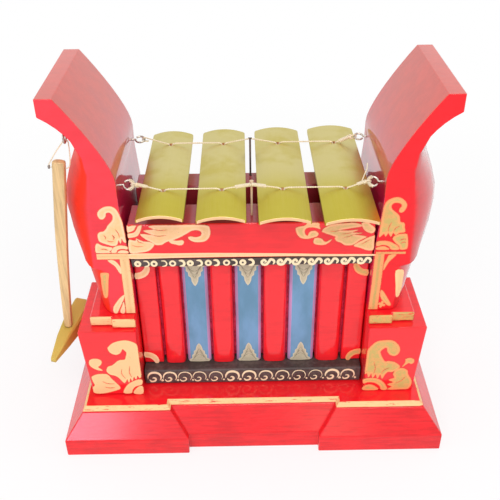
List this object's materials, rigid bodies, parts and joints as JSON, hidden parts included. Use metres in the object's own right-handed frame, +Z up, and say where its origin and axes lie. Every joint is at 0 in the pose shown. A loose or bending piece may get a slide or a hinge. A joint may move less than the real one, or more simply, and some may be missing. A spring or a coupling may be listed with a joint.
{
  "type": "metallophone",
  "caption": "Small metallophone: arched brass keys on two cords over a carved, painted wooden case with horned end boards, and a wooden mallet hung at one side.",
  "frame": {"origin": "middle of the base's underside, on the surface that it stands on", "axes": "+X to the right seen from the front, +Y to the back, +Z up; the front, with the grille, is at -Y"},
  "size_m": [0.2538, 0.148, 0.2388],
  "materials": {
    "red_paint": "glossy red enamel paint on wood",
    "dark_red_paint": "dark red stained wood",
    "gold_paint": "matt gold paint on wood",
    "black_paint": "black paint on wood",
    "blue_paint": "satin blue paint on wood",
    "brass": "dull polished brass",
    "steel": "plated steel wire",
    "cord": "twisted natural cord",
    "pale_wood": "plain pale wood",
    "head_wood": "varnished yellow-brown wood"
  },
  "bodies": {
    "case": {"back_board": "red_paint", "back_cord": "cord", "back_pin": "steel", "back_rail": "red_paint", "base_deck": "gold_paint", "base_plinth": "red_paint", "column_1": "red_paint", "column_2": "red_paint", "column_3": "red_paint", "column_4": "red_paint", "front_cord": "cord", "front_pin": "pale_wood", "front_rail": "red_paint", "grille_backing": "dark_red_paint", "left_back_block": "red_paint", "left_back_eye": "steel", "left_front_block": "red_paint", "left_front_eye": "steel", "left_panel": "red_paint", "left_step": "gold_paint", "left_wing": "red_paint", "lower_bar": "black_paint", "mallet_hook": "steel", "right_back_block": "red_paint", "right_back_eye": "steel", "right_front_block": "red_paint", "right_front_eye": "steel", "right_panel": "red_paint", "right_step": "gold_paint", "right_wing": "red_paint", "slat_1": "blue_paint", "slat_2": "blue_paint", "slat_3": "blue_paint", "upper_band": "black_paint"},
    "key_1": {"key_1": "brass", "key_1_back_peg": "pale_wood", "key_1_front_peg": "pale_wood"},
    "key_2": {"key_2": "brass", "key_2_back_peg": "pale_wood", "key_2_front_peg": "pale_wood"},
    "key_3": {"key_3": "brass", "key_3_back_peg": "pale_wood", "key_3_front_peg": "pale_wood"},
    "key_4": {"key_4": "brass", "key_4_back_peg": "pale_wood", "key_4_front_peg": "pale_wood"},
    "mallet_cord": {"mallet_string": "cord", "mallet_string_knot": "cord"},
    "mallet": {"mallet_handle": "pale_wood", "mallet_head": "head_wood"}
  },
  "joints": [
    {"name": "key_1_press", "type": "slide", "parent": "case", "child": "key_1", "axis": [0, 0, 1], "range_m": [-0.004, 0.0015], "stiffness_N_per_m": 600, "springref_m": 0.00084, "deforming": ["front_cord", "back_cord"]},
    {"name": "key_2_press", "type": "slide", "parent": "case", "child": "key_2", "axis": [0, 0, 1], "range_m": [-0.004, 0.0015], "stiffness_N_per_m": 600, "springref_m": 0.00091, "deforming": ["front_cord", "back_cord"]},
    {"name": "key_3_press", "type": "slide", "parent": "case", "child": "key_3", "axis": [0, 0, 1], "range_m": [-0.004, 0.0015], "stiffness_N_per_m": 600, "springref_m": 0.00098, "deforming": ["front_cord", "back_cord"]},
    {"name": "key_4_press", "type": "slide", "parent": "case", "child": "key_4", "axis": [0, 0, 1], "range_m": [-0.004, 0.0015], "stiffness_N_per_m": 600, "springref_m": 0.00106, "deforming": ["front_cord", "back_cord"]},
    {"name": "mallet_swing_out", "type": "hinge", "parent": "case", "child": "mallet_cord", "pos_m": [-0.10336, -0.0327, 0.21019], "axis": [0, 1, 0], "range_deg": [0, 40]},
    {"name": "mallet_swing_forward", "type": "hinge", "parent": "mallet_cord", "child": "mallet", "pos_m": [-0.10917, -0.0327, 0.19459], "axis": [-0.9944, 0, 0.1053], "range_deg": [-8, 40]}
  ]
}
